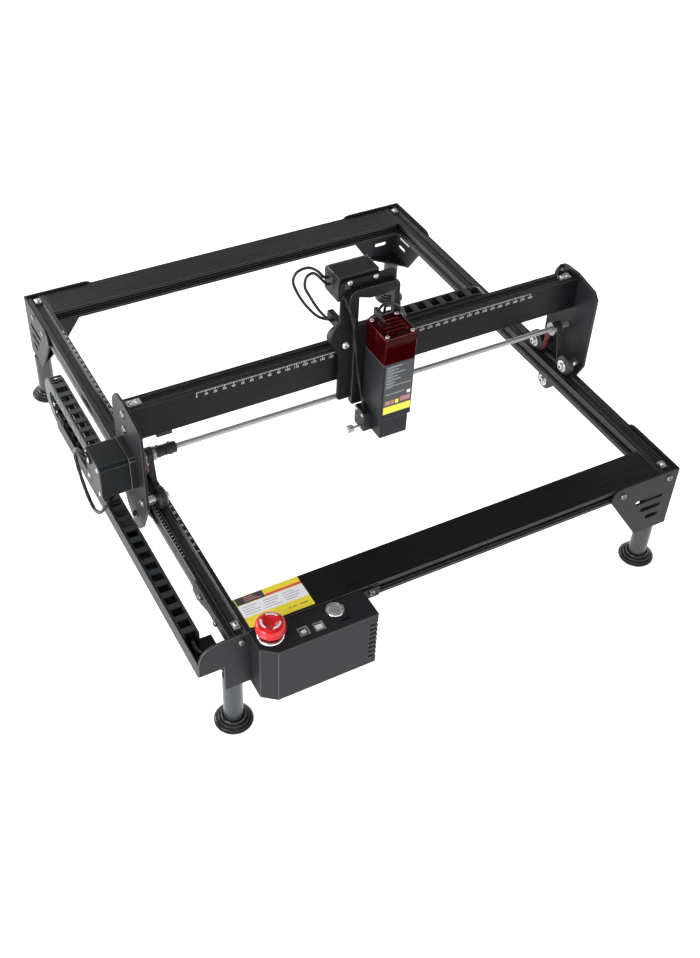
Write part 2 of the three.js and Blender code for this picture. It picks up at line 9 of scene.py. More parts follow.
import bmesh
import bpy
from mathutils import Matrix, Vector

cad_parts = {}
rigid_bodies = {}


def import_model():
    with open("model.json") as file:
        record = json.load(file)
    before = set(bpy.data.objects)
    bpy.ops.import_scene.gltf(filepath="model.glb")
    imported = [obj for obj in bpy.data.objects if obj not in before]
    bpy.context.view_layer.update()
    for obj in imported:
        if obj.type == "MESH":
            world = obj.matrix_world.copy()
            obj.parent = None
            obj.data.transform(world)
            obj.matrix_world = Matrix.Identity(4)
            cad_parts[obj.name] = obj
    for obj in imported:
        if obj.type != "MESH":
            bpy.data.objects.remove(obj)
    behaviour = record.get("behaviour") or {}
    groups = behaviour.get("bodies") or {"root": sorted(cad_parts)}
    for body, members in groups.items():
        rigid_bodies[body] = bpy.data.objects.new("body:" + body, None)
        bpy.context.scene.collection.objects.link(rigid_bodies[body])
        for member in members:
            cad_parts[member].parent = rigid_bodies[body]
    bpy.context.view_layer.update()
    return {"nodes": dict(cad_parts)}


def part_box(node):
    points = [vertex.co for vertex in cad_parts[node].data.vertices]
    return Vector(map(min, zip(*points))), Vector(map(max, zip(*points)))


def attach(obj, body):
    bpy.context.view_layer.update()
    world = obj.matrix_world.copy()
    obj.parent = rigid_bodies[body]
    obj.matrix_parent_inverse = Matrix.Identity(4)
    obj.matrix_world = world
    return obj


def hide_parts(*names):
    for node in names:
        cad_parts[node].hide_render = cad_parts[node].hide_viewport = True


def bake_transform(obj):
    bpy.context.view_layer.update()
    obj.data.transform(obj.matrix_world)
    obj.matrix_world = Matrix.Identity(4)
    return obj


for startup in list(bpy.data.objects):
    bpy.data.objects.remove(startup)
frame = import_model()
RAIL_LOW, RAIL_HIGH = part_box("left_rail")
ORIGIN = Vector((RAIL_LOW.x, RAIL_LOW.y, RAIL_HIGH.z))

WIDTH, DEPTH, RAIL = 524, 600, 20
FLOOR = -142
SIDES = (("left", RAIL / 2), ("right", WIDTH - RAIL / 2))  # x of each rail's middle
SHEET_FACE = 2.6  # how far a bracket's outer face stands out from the frame
PLATES = (-9.5, 533.5)  # x of the gantry plates' outer faces
BEAM_Y = 225  # middle of the x beam
SHAFT = (220, 45)  # y and z of the cross shaft
Y_WHEELS = ((192, 9.9), (248, 9.9), (220, -29.9))  # y and z of the axles
X_WHEELS = ((227, 120.9), (272, 120.9), (250, 62.1))  # x and z of the axles
ESTOP = (34, -13)  # x and y of the buttons' axes
POWER = (102, -11.4)
LASER = (245, 282, 160, 199.7)  # x and y ranges of the laser's housing
KNOB = (183.5, 27.5)  # y and z of the thumbscrew

SHARP_ANGLE, BEVEL_ANGLE = 35, 38  # degrees between faces
SCREW_SIDES = 36
CORNER_STEPS = 5  # chords in a rounded corner
CURVE_STEPS = 5  # chords between two points of a lead's route
SOFT_EDGE = 0.3  # chamfer at a rod's ends
EVEN = (1, 1, 1)  # a pattern that isn't stretched


def at(x, y, z):
    return ORIGIN + Vector((x, y, z)) / 1000


def make_camera():
    data = bpy.data.cameras.new("camera")
    data.lens = 46.3
    data.sensor_width = 36
    camera = bpy.data.objects.new("camera", data)
    camera.location = at(-282.86, -674.29, 879.55)
    camera.rotation_euler = [math.radians(angle) for angle in (47.0785, -2.2871, -28.5664)]
    bpy.context.scene.collection.objects.link(camera)
    bpy.context.scene.camera = camera


# Geometry ------------------------------------------------------------------------------------


class Shape:
    """Faces in machine millimetres; tag is the number of the face's material."""

    def __init__(self):
        self.verts, self.faces, self.tags = [], [], []

    def face(self, points, tag=0):
        start = len(self.verts)
        self.verts += [tuple(p) for p in points]
        self.faces.append(tuple(range(start, start + len(points))))
        self.tags.append(tag)
        return self

    def rings(self, rings, wrap=False, tag=0):
        start, size, count = len(self.verts), len(rings[0]), len(rings)
        for ring in rings:
            self.verts += [tuple(p) for p in ring]
        new = []
        for i in range(count if wrap else count - 1):
            a, b = start + i * size, start + (i + 1) % count * size
            for j in range(size):
                k = (j + 1) % size
                new.append((a + j, a + k, b + k, b + j))
        if not wrap:
            new.append(tuple(start + j for j in reversed(range(size))))
            new.append(tuple(start + (count - 1) * size + j for j in range(size)))
        self.faces += new
        self.tags += [tag] * len(new)
        return self

    def prism(self, points, axis, low, high, tag=0):
        """points are (y, z), (x, z) or (x, y) pairs for axis 0, 1 or 2."""
        rings = [[insert(p, axis, value) for p in points] for value in (low, high)]
        return self.rings(rings, tag=tag)

    def box(self, x0, x1, y0, y1, z0, z1, tag=0):
        return self.prism([(x0, y0), (x1, y0), (x1, y1), (x0, y1)], 2, z0, z1, tag)

    def lathe(self, profile, axis, centre, sides=48, tag=0, closed=False, six=()):
        """profile is (radius, distance along axis) pairs.

        Rings whose numbers are in six are hexagons.
        """
        rings = []
        for number, (radius, along) in enumerate(profile):
            ring = []
            for i in range(sides):
                angle = 2 * math.pi * i / sides
                r = radius
                if number in six:
                    r = radius / math.cos((angle % (math.pi / 3)) - math.pi / 6)
                flat = (centre[0] + r * math.cos(angle), centre[1] + r * math.sin(angle))
                ring.append(insert(flat, axis, along))
            rings.append(ring)
        return self.rings(rings, wrap=closed, tag=tag)

    def rod(self, axis, radius, low, high, centre, sides=32, tag=0):
        soft = min(SOFT_EDGE, radius / 3)
        profile = [(radius - soft, low), (radius, low + soft)]
        profile += [(radius, high - soft), (radius - soft, high)]
        return self.lathe(profile, axis, centre, sides, tag)

    def screw(self, axis, centre, base, head, radius, tag=0):
        """A button head with a hexagonal socket; head is its signed height along axis."""
        lip = base + head - math.copysign(0.1, head)
        profile = [
            (radius, base), (radius, base + 0.35 * head), (radius * 0.86, base + 0.75 * head),
            (radius * 0.6, base + head), (radius * 0.4, base + head), (radius * 0.38, lip),
            (radius * 0.36, base + 0.3 * head),
        ]
        return self.lathe(profile, axis, centre, SCREW_SIDES, tag, six=(4, 5, 6))

    def ridged(self, centre, profile, depth, sides):
        """A rod along x with ridges; profile is (x, radius) pairs and centre is (y, z)."""
        rings = []
        for x, radius in profile:
            ring = []
            for i in range(sides):
                r = radius if i % 4 < 2 else radius - depth
                angle = 2 * math.pi * i / sides
                ring.append((x, centre[0] + r * math.cos(angle), centre[1] + r * math.sin(angle)))
            rings.append(ring)
        return self.rings(rings)

    def tube(self, points, radius, sides, tag=0):
        return self.rings(tube_rings(points, radius, sides), tag=tag)

    def strip(self, path, x0, x1, thick, inner):
        """A belt along a path of (y, z) points, between x0 and x1.

        inner is the material number of the face that the pulley meets.
        """
        rings = []
        for i, point in enumerate(path):
            before, after = path[max(i - 1, 0)], path[min(i + 1, len(path) - 1)]
            run = Vector((after[0] - before[0], after[1] - before[1])).normalized()
            side = Vector((-run.y, run.x)) * thick / 2
            a, b = Vector(point) + side, Vector(point) - side
            rings.append([(x0, a.x, a.y), (x1, a.x, a.y), (x1, b.x, b.y), (x0, b.x, b.y)])
        first, steps = len(self.tags), len(path) - 1
        self.rings(rings)
        self.tags[first + 2 : first + 4 * steps : 4] = [inner] * steps
        return self


def insert(pair, axis, value):
    point = list(pair)
    point.insert(axis, value)
    return point


def tube_rings(points, radius, sides):
    points = [Vector(p) for p in points]
    before, after = points[:1] + points[:-1], points[1:] + points[-1:]
    runs = [(b - a).normalized() for a, b in zip(before, after)]
    side = runs[0].orthogonal().normalized()
    rings = []
    for point, run in zip(points, runs):
        side = (side - run * side.dot(run)).normalized()
        up = run.cross(side)
        turns = [2 * math.pi * (j + 0.5) / sides for j in range(sides)]
        rings.append([point + (side * math.cos(t) + up * math.sin(t)) * radius for t in turns])
    return rings


def rounded(x0, x1, y0, y1, radius):
    corners = [(x1, y1, 0), (x0, y1, 1), (x0, y0, 2), (x1, y0, 3)]
    points = []
    for x, y, quarter in corners:
        cx = x - radius if x == x1 else x + radius
        cy = y - radius if y == y1 else y + radius
        for i in range(CORNER_STEPS + 1):
            angle = (quarter + i / CORNER_STEPS) * math.pi / 2
            points.append((cx + radius * math.cos(angle), cy + radius * math.sin(angle)))
    return points


def piece(name, shape, body, materials, bevel=0.0, replaces=()):
    """Makes a piece of the shape, riding on body unless body is None."""
    mesh = bpy.data.meshes.new(name)
    mesh.from_pydata([at(*v) for v in shape.verts], [], shape.faces)
    mesh.polygons.foreach_set("material_index", shape.tags)
    work = bmesh.new()
    work.from_mesh(mesh)
    bmesh.ops.remove_doubles(work, verts=work.verts, dist=1e-7)
    bmesh.ops.recalc_face_normals(work, faces=work.faces)
    work.to_mesh(mesh)
    work.free()
    mesh.shade_smooth()
    mesh.set_sharp_from_angle(angle=math.radians(SHARP_ANGLE))
    for material in materials if isinstance(materials, list) else [materials]:
        mesh.materials.append(material)
    made = bpy.data.objects.new(name, mesh)
    bpy.context.scene.collection.objects.link(made)
    if bevel:
        add_bevel(made, bevel)
    if body:
        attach(made, body)
    if replaces:
        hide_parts(*replaces)
    return made


def add_bevel(target, width, smooth=True, material=-1):
    bevel = target.modifiers.new("edges", "BEVEL")
    bevel.width = width / 1000
    bevel.segments = 2
    bevel.limit_method = "ANGLE"
    bevel.material = material
    bevel.angle_limit = math.radians(BEVEL_ANGLE)
    if smooth:
        target.modifiers.new("normals", "WEIGHTED_NORMAL").keep_sharp = True


# Materials -----------------------------------------------------------------------------------


class Paint:
    """A principled material whose colour, roughness and bump come from procedural detail."""

    def __init__(self, name, color, rough, metal=0.0, **inputs):
        self.material = bpy.data.materials.new(name)
        self.material.use_nodes = True
        self.tree = self.material.node_tree
        self.shader = self.tree.nodes["Principled BSDF"]
        self.shader.inputs["Base Color"].default_value = (*color, 1)
        self.shader.inputs["Roughness"].default_value = rough
        self.shader.inputs["Metallic"].default_value = metal
        for key, value in inputs.items():
            self.shader.inputs[key.replace("_", " ")].default_value = value
        self.color, self.rough = color, rough
        self.place = self.node("ShaderNodeTexCoord").outputs["Object"]
        self.height = None

    def node(self, kind, links=(), **settings):
        made = self.tree.nodes.new(kind)
        for key, value in settings.items():
            setattr(made, key, value)
        for socket, source in links:
            if isinstance(source, bpy.types.NodeSocket):
                self.tree.links.new(source, made.inputs[socket])
            else:
                made.inputs[socket].default_value = source
        return made

    def noise(self, scale, stretch=EVEN, detail=3.0):
        moved = self.node("ShaderNodeMapping", [("Vector", self.place), ("Scale", stretch)])
        links = [("Vector", moved.outputs[0]), ("Scale", scale), ("Detail", detail)]
        return self.node("ShaderNodeTexNoise", links).outputs["Fac"]

    def ramp(self, source, low, high):
        """Turns the middle part of a noise's range into low to high."""
        links = [("Value", source), ("From Min", 0.3), ("From Max", 0.7)]
        links += [("To Min", low), ("To Max", high)]
        return self.node("ShaderNodeMapRange", links).outputs["Result"]

    def math(self, operation, a, b=0.0):
        return self.node("ShaderNodeMath", [(0, a), (1, b)], operation=operation).outputs[0]

    def mottle(self, scale, spread, stretch=EVEN):
        """Roughness varies by spread, and the colour a little with it."""
        pattern = self.noise(scale, stretch)
        rough = self.ramp(pattern, max(self.rough - spread, 0.02), self.rough + spread)
        self.tree.links.new(rough, self.shader.inputs["Roughness"])
        shade = self.ramp(pattern, 1 - spread, 1 + spread)
        links = [(0, self.color), ("Scale", shade)]
        self.shade = self.node("ShaderNodeVectorMath", links, operation="SCALE").outputs[0]
        self.tree.links.new(self.shade, self.shader.inputs["Base Color"])
        return self

    def bump(self, source, depth):
        """depth is in millimetres."""
        links = [("Height", source), ("Distance", depth / 1000), ("Strength", 1.0)]
        if self.height:
            links.append(("Normal", self.height))
        self.height = self.node("ShaderNodeBump", links).outputs["Normal"]
        self.tree.links.new(self.height, self.shader.inputs["Normal"])
        return self

    def ribs(self, axes, pitch, depth):
        """Fine grooves at pitch millimetres, counted along the sum of the axes named."""
        split = self.node("ShaderNodeSeparateXYZ", [(0, self.place)])
        total = split.outputs[axes[0]]
        for axis in axes[1:]:
            total = self.math("ADD", total, split.outputs[axis])
        wave = self.math("SINE", self.math("MULTIPLY", total, 2000 * math.pi / pitch))
        return self.bump(wave, depth)

    def wear(self, color, share):
        """Convex edges painted towards a lighter colour, by share at most, as a painted edge
        highlight. Comes after mottle.
        """
        point = self.node("ShaderNodeNewGeometry").outputs["Pointiness"]
        links = [("Value", point), ("From Min", 0.52), ("From Max", 0.6), ("To Max", share)]
        mask = self.node("ShaderNodeMapRange", links).outputs["Result"]
        links = [("Factor", mask), (6, self.shade), (7, (*color, 1))]
        mix = self.node("ShaderNodeMix", links, data_type="RGBA")
        self.tree.links.new(mix.outputs[2], self.shader.inputs["Base Color"])
        return self


def anodised(name, along, axes, gloss, pitch, depth):
    """Extruded aluminium with its die lines along the axis numbered along."""
    stretch = [60, 60, 60]
    stretch[along] = 1
    paint = Paint(name, (0.0074, 0.0077, 0.009), 0.34, Specular_IOR_Level=gloss)
    paint.mottle(22, 0.09, stretch).ribs(axes, pitch, depth)
    return paint.bump(paint.noise(30, [s * 1.5 for s in stretch]), 0.02)


def make_materials():
    made = {}

    def add(key, name, color, rough, mottle, *grains, metal=0.0, **inputs):
        """mottle is what Paint.mottle takes; each grain what Paint.noise takes, and its depth."""
        paint = Paint(name, color, rough, metal, **inputs).mottle(*mottle)
        for *noise, depth in grains:
            paint.bump(paint.noise(*noise), depth)
        made[key] = paint.material
        return paint

    black = (0.008, 0.0083, 0.009)
    made["rail"] = anodised("anodised_rail", 1, "XZ", 0.3, pitch=3.3, depth=0.04).material
    made["beam"] = anodised("anodised_beam", 0, "YZ", 0.15, pitch=2.6, depth=0.06).material
    add("powder", "powder_coat", (0.0155, 0.0158, 0.0185), 0.44, (900, 0.07),
        (2600, EVEN, 2, 0.03), (90, 0.05), Specular_IOR_Level=0.18)
    add("black powder", "black_powder_coat", black, 0.42, (900, 0.07),
        (2600, EVEN, 2, 0.03), Specular_IOR_Level=0.2)
    plastic = add("plastic", "black_plastic", black, 0.42, (700, 0.08),
                  (3200, EVEN, 2, 0.02), Specular_IOR_Level=0.2)
    # Lighter convex edges: a painted edge highlight
    plastic.wear((0.07, 0.07, 0.075), 0.6)
    add("shell", "motor_shell_plastic", (0.0075, 0.0088, 0.0098), 0.38, (600, 0.07),
        (2600, EVEN, 2, 0.03), Specular_IOR_Level=0.22)
    # Lighter colours for the bevel faces of the CAD nodes: painted edge highlights
    for key, color, rough in (
        ("rail edge", (0.2, 0.205, 0.22), 0.3), ("beam edge", (0.13, 0.135, 0.15), 0.3),
        ("powder edge", (0.07, 0.071, 0.076), 0.4), ("shell edge", (0.022, 0.026, 0.028), 0.25),
        ("black powder edge", (0.03, 0.031, 0.033), 0.4), ("flange edge", (0.2, 0.2, 0.21), 0.3),
        ("acrylic edge", (0.16, 0.008, 0.012), 0.15),
    ):
        add(key, key.replace(" ", "_"), color, rough, (300, 0.08), (900, 0.01), metal=0.2)
    add("flange", "motor_flange_black", (0.01, 0.011, 0.012), 0.4, (420, 0.08), (1800, 0.02),
        Specular_IOR_Level=0.3)
    chain = add("chain", "chain_nylon", (0.009, 0.0102, 0.011), 0.36, (420, 0.09), (1500, 0.04),
                Specular_IOR_Level=0.28)
    # Lighter convex edges: a painted edge highlight
    chain.wear((0.06, 0.066, 0.07), 0.6)
    add("rubber", "belt_rubber", (0.012, 0.012, 0.013), 0.62, (800, 0.08), (2400, 0.04))
    add("tyre", "roller_tread", (0.014, 0.014, 0.015), 0.5, (700, 0.08), (1800, 0.03))
    add("steel", "brushed_steel", (0.6, 0.61, 0.63), 0.3, (260, 0.07, (30, 1, 1)),
        (260, (30, 1, 1), 0.012), metal=1.0)
    add("shaft", "ground_shaft", (0.42, 0.42, 0.44), 0.42, (120, 0.05, (1, 30, 30)),
        (900, (6, 1, 1), 0.004), metal=0.6)
    dim = add("dark steel", "blackened_steel", (0.16, 0.16, 0.165), 0.32, (500, 0.08),
              (1200, 0.01), metal=1.0)
    # Lighter convex edges: a painted edge highlight
    dim.wear((0.45, 0.45, 0.46), 0.5)
    add("cap", "button_cap_metal", (0.55, 0.56, 0.57), 0.38, (500, 0.06), (1400, 0.01), metal=0.9)
    add("chrome", "bright_chrome", (0.78, 0.78, 0.8), 0.1, (300, 0.03), (200, 0.01), metal=1.0)
    add("leg", "leg_aluminium", (0.066, 0.07, 0.077), 0.27, (160, 0.06, (20, 20, 1)),
        (300, (10, 10, 1), 0.012), metal=0.75)
    foot = add("foot", "foot_rubber", (0.007, 0.0075, 0.009), 0.24, (500, 0.05), (1800, 0.02),
               Specular_IOR_Level=0.4)
    # Lighter convex edges: a painted edge highlight
    foot.wear((0.05, 0.05, 0.055), 0.6)
    add("red", "emergency_red", (0.6, 0.004, 0.008), 0.16, (220, 0.05), (120, 0.02),
        Specular_IOR_Level=0.4, Coat_Weight=0.25)
    add("white", "white_print", (0.78, 0.78, 0.78), 0.4, (900, 0.05), (1200, 0.005))
    # An index of refraction near 1 keeps the surroundings out of the cover's face
    add("acrylic", "dark_red_acrylic", (0.22, 0.003, 0.007), 0.05, (30, 0.02), (40, 0.004),
        IOR=1.16, Transmission_Weight=0.9)
    add("board", "circuit_board", (0.012, 0.09, 0.035), 0.35, (900, 0.12), (1500, 0.06))
    add("belt fabric", "belt_tooth_fabric", (0.3, 0.06, 0.04), 0.6, (900, 0.1), (2500, 0.04))
    add("brown", "switch_board", (0.16, 0.02, 0.02), 0.35, (900, 0.1), (1500, 0.04))
    add("sheath", "cable_sheath", (0.009, 0.009, 0.0105), 0.28, (600, 0.08), (1600, 0.03),
        Specular_IOR_Level=0.4)
    for key, color in (
        ("yellow", (0.98, 0.8, 0.05)), ("band red", (0.8, 0.11, 0.08)),
        ("label white", (0.93, 0.93, 0.97)), ("label black", (0.05, 0.055, 0.06)),
        ("label grey", (0.3, 0.31, 0.33)), ("label pink", (0.45, 0.2, 0.2)),
    ):
        add(key, key.replace(" ", "_") + "_vinyl", color, 0.36, (400, 0.06), (1500, 0.008))
    return made


# Leads ---------------------------------------------------------------------------------------


def curve_through(points):
    """A centripetal Catmull-Rom curve, as part.mjs draws its leads."""
    points = [Vector(p) for p in points]
    padded = [points[0] * 2 - points[1]] + points + [points[-1] * 2 - points[-2]]

    def mix(p, q, t, start, end):
        return p * ((end - t) / (end - start)) + q * ((t - start) / (end - start))

    made = []
    for four in zip(padded, padded[1:], padded[2:], padded[3:]):
        knots = [0.0]
        for p, q in zip(four, four[1:]):
            knots.append(knots[-1] + max((q - p).length, 1e-6) ** 0.5)
        for i in range(CURVE_STEPS):
            t = knots[1] + (knots[2] - knots[1]) * i / CURVE_STEPS
            ab, bc, cd = (mix(four[k], four[k + 1], t, knots[k], knots[k + 1]) for k in range(3))
            abc, bcd = mix(ab, bc, t, knots[0], knots[2]), mix(bc, cd, t, knots[1], knots[3])
            made.append(mix(abc, bcd, t, knots[1], knots[2]))
    return made + [points[-1]]


# Each lead's route, its diameter, how many strands it has and the body it rides on
LEADS = {
    "x_loop_outer": ([
        (219.1, 229, 142), (216, 229, 142.3), (206, 230, 148), (191, 230, 167), (180, 230, 188),
        (177, 230, 200), (181, 230, 208), (193, 230, 210), (203, 230, 204), (212, 230, 193.5),
        (216.4, 230, 192.8),
    ], 3, 1, "carriage"),
    "x_loop_inner": ([
        (219.1, 222, 145), (216, 222, 145.5), (205, 224, 158), (193, 226, 180), (188, 226, 192),
        (190, 226, 203), (197, 226, 205), (205, 226, 197), (212.5, 226, 188), (216.6, 226, 187),
    ], 3, 1, "carriage"),
    "laser_cable": ([
        (256, 184, 152.4), (255.8, 184.2, 156), (251, 189, 164), (258, 192, 170), (272, 193, 167),
        (284, 195, 156), (292, 201, 142), (296, 213, 134), (296, 230, 133), (294, 243, 126),
        (294, 245, 112.4),
    ], 3, 1, None),
    "sensor_cable": ([
        (221, 206.6, 184), (220.8, 203, 183), (221, 198.5, 178), (225, 197, 168), (229, 196.8, 148),
        (233, 196.8, 117), (238, 196.5, 80), (240, 192, 60), (240, 188.5, 50), (240, 188, 46.8),
    ], 3, 2, None),
    "y_motor_cable": ([
        (-49, 226, 60), (-52, 226.6, 60.2), (-55, 240, 61), (-55, 253, 45), (-53, 252, 20),
        (-51, 240, -4), (-50, 224, -10), (-48, 208, 0), (-42, 204, 12), (-33, 212, 14),
        (-26, 226, 13), (-25, 239.6, 12),
    ], 4, 4, "gantry"),
    "box_cable": ([
        (-25, 34.7, -28), (-25.5, 26, -30), (-21, 17, -31.5), (-12, 12.5, -30.5), (-1.5, 12, -30),
        (10, 11, -31), (21, 8, -33), (28, 0, -34),
    ], 4, 4, "frame"),
}
# The two leads between the carriage and the laser head: both bodies, and both ends of the stretch
STRETCHED = {
    "laser_cable": ("laser_head", "carriage", (256, 184, 152), (294, 245, 112)),
    "sensor_cable": ("carriage", "laser_head", (222, 204, 172), (240, 188, 52)),
}


def make_leads(paints):
    for name, (route, diameter, strands, body) in LEADS.items():
        path = curve_through(route)
        shape = Shape()
        if strands == 1:
            shape.tube(path, diameter / 2, 16)
        else:
            # Each strand winds around the lead's middle line, two of 24 places at each ring
            places, reach = 24, diameter / 4
            rings = tube_rings(path, reach, places)
            for strand in range(strands):
                start = strand * places // strands
                centres = [ring[(start + i * 2) % places] for i, ring in enumerate(rings)]
                shape.tube(centres, diameter / 2 - reach, 8)
        sheath = paints["sheath"]
        made = piece(name + "_lead", shape, body, sheath, replaces=(name,))
        if name in STRETCHED:
            first, second, start, end = STRETCHED[name]
            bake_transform(made)


# CAD nodes -----------------------------------------------------------------------------------


def finish_nodes(paints):
    """Materials and small edge rounds for the CAD nodes that stay; where a lighter edge material
    exists, the rounds take it as a painted edge highlight.
    """
    kinds = {
        "rail": (0.45, ["left_rail", "right_rail"]),
        "beam": (0.45, ["front_beam", "rear_beam", "x_beam"]),
        "powder": (0.5, [
            "corner_bracket_front_left", "corner_bracket_front_right", "corner_bracket_rear_left",
            "corner_bracket_rear_right", "control_box", "control_box_cover", "gantry_plate_left",
            "gantry_plate_right", "laser_body", "laser_hood", "chain_tray",
        ]),
        "black powder": (0.6, ["carriage_plate", "slide_bracket"]),
        "shell": (0.9, ["y_motor_cover", "x_motor_cover"]),
        "flange": (0.4, ["y_motor", "x_motor"]),
        "plastic": (0.3, ["estop_stem"]),
        "rubber": (0.2, ["y_belt_left", "y_belt_right"]),
        "acrylic": (0.7, ["laser_cover"]),
        "board": (0.2, ["control_board"]),
    }
    for key, (width, names) in kinds.items():
        for name in names:
            node = frame["nodes"][name]
            for layer in ("custom_normal", "sharp_face", "sharp_edge"):
                if layer in node.data.attributes:
                    node.data.attributes.remove(node.data.attributes[layer])
            node.data.shade_flat()
            node.data.materials.clear()
            node.data.materials.append(paints[key])
            # The bevel faces take the lighter edge material, a painted edge highlight
            edge = paints.get(key + " edge")
            if edge:
                node.data.materials.append(edge)
            node.modifiers.new("weld", "WELD").merge_threshold = 1e-5
            flat = node.modifiers.new("planes", "DECIMATE")
            flat.decimate_type = "DISSOLVE"
            flat.angle_limit = math.radians(1)
            add_bevel(node, width, smooth=False, material=1 if edge else -1)


# Chains --------------------------------------------------------------------------------------

# Pitch of a chain's links, their outer width and height, and the thickness of walls and bars
LINK, CHAIN, WALL, BAR = 17, 16, 1.7, 1.8


def chain_link(shape, place, start, end, low, size):
    """One straight link between start and end along the chain, standing on low.

    place turns (along, across, up) into x, y, z.
    """
    half, gap = size / 2, 0.5
    a, b = start + gap / 2, end - gap / 2

    def block(a0, a1, c0, c1, u0, u1):
        corners = [(a0, c0), (a1, c0), (a1, c1), (a0, c1)]
        shape.rings([[place(p, q, u) for p, q in corners] for u in (u0, u1)])

    for side in (-1, 1):
        outer, inner = side * half, side * (half - WALL)
        block(a, b, *sorted((outer, inner)), low, low + size)
        block(a + 2, b - 5, *sorted((outer, outer + side * 0.35)), low + 3.5, low + size - 3.5)
    middle = (a + b) / 2
    for u in (low, low + size - BAR):
        block(middle - 3.3, middle + 3.3, WALL - half, half - WALL, u, u + BAR)


def chain_run(shape, place, start, end, low, size=CHAIN, wired=None):
    """Straight links with three cables inside, which end at wired if it is given."""
    count = max(1, round((end - start) / LINK))
    step = (end - start) / count
    for i in range(count):
        chain_link(shape, place, start + i * step, start + (i + 1) * step, low, size)
    room = size / 2 - 2.6
    for lane, share in ((-1, 0.36), (0, 0.42), (1, 0.32)):
        height = low + size * share
        route = [place(a, lane * room * 0.62, height) for a in (start + 0.5, wired or end - 0.5)]
        shape.tube(route, room * 0.31, 10, tag=1)


def chain_bend(shape, place, bend, radius, centre):
    """The half turn, as overlapping curved links."""
    half, count, per = CHAIN / 2, 4, 6
    for i in range(count):
        low, high = -90 + 180 * i / count + 0.8, -90 + 180 * (i + 1) / count - 0.8
        angles = [math.radians(low + (high - low) * j / per) for j in range(per + 1)]

        def wall(c0, c1, r0, r1, chosen, tag=0):
            rings = []
            for angle in chosen:
                a, u = math.cos(angle), math.sin(angle)
                corners = [(r0, c0), (r1, c0), (r1, c1), (r0, c1)]
                rings.append([place(bend + r * a, c, centre + r * u) for r, c in corners])
            shape.rings(rings, tag=tag)

        for side in (-1, 1):
            across = sorted((side * half, side * (half - WALL)))
            wall(*across, radius - half, radius + half, angles)
        wall(WALL - half, half - WALL, radius + half - BAR, radius + half, angles[1:4])
        wall(WALL - half, half - WALL, radius - half, radius - half + BAR, angles[1:5])
        wall(-4, 4, radius - 2.4, radius + 2.4, angles, tag=1)


def make_chains(paints):
    coats = [paints["chain"], paints["sheath"]]
    chain_x, chain_y = -25, 245
    along_y = lambda a, c, u: (chain_x + c, a, u)
    along_x = lambda a, c, u: (a, chain_y + c, u)
    parts = (
        # low is the lower run's underside; travel is the length of the bar behind the bend, which
        # comes forward by reach at most; top is where the upper run starts
        (
            "y", along_y, -36, 35, 334, 404, 20, -8, 210, 74, 240,
            "frame", "gantry", "y_chain_bend",
        ),
        (
            "x", along_x, 72, 98, 308, 408, 12, 92, 200, 102, 290,
            "gantry", "carriage", "x_chain_bend",
        ),
    )
    for (
        key, place, low, start, end, bend, radius, centre, travel, reach, top, base, mover, turn,
    ) in parts:
        shape = Shape()
        chain_run(shape, place, start, end, low, wired=bend - travel - reach)
        if key == "x":
            shape.box(98, 526, 237, 253, low - 1.9, low - 0.6)
            shape.box(98, 526, 235.4, 236.6, low - 1.9, low + 10)
        piece(
            f"{key}_chain_lower_run", shape, base, coats,
            replaces=(f"{key}_chain_lower",),
        )
        shape = Shape()
        chain_bend(shape, place, bend, radius, centre)
        chain_run(shape, place, bend - travel, bend - 0.3, low + 2.2, size=CHAIN - 4.4)
        upper_low = centre + radius - CHAIN // 2
        # Two rails that join the bend to the upper run
        for side in (-1, 1):
            left, right = side * 4.2 - 1, side * 4.2 + 1
            low_z, high_z = upper_low + 3, upper_low + 13
            corners = ((left, low_z), (right, low_z), (right, high_z), (left, high_z))
            shape.rings([[place(a, c, u) for c, u in corners] for a in (bend - 14, bend)])
        piece(
            f"{key}_chain_turn", shape, turn, coats,
            replaces=(f"{key}_chain_bend",),
        )
        shape = Shape()
        chain_run(shape, place, top, bend - 0.3, upper_low)
        upper = piece(
            f"{key}_chain_upper_run", shape, None, coats,
            replaces=(f"{key}_chain_upper",),
        )
        slack = 0.21 * (bend - top)
        at(*place(top - slack, 0, upper_low + 8))
        at(*place(bend + slack, 0, upper_low + 8))
        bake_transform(upper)


# Wheels, shaft and belts ---------------------------------------------------------------------


def wheel(name, axis, centre, middle, paints):
    """A grooved roller with a shielded bearing; middle is its place along its axis."""
    profile = [
        (8.2, -5.1), (8.9, -5.1), (9.6, -4.9), (11.6, -3.1), (12, -2.7), (12, 2.7), (11.6, 3.1),
        (9.6, 4.9), (8.9, 5.1), (8.2, 5.1), (8.0, 4.2), (5.2, 4.2), (5.2, -4.2), (8.0, -4.2),
    ]
    shape = Shape().lathe([(r, middle + h) for r, h in profile], axis, centre, 56, closed=True)
    shield = [
        (7.9, -3.9), (7.9, 3.9), (6.6, 4.1), (6.4, 3.8), (4.6, 3.8), (4.4, 4.4),
        (2.8, 4.4), (2.8, -4.4), (4.4, -4.4), (4.6, -3.8), (6.4, -3.8), (6.6, -4.1),
    ]
    shape.lathe([(r, middle + h) for r, h in shield], axis, centre, 40, tag=1, closed=True)
    coats = [paints["tyre"], paints["steel"]]
    piece(name + "_roller", shape, name, coats, replaces=(name,))


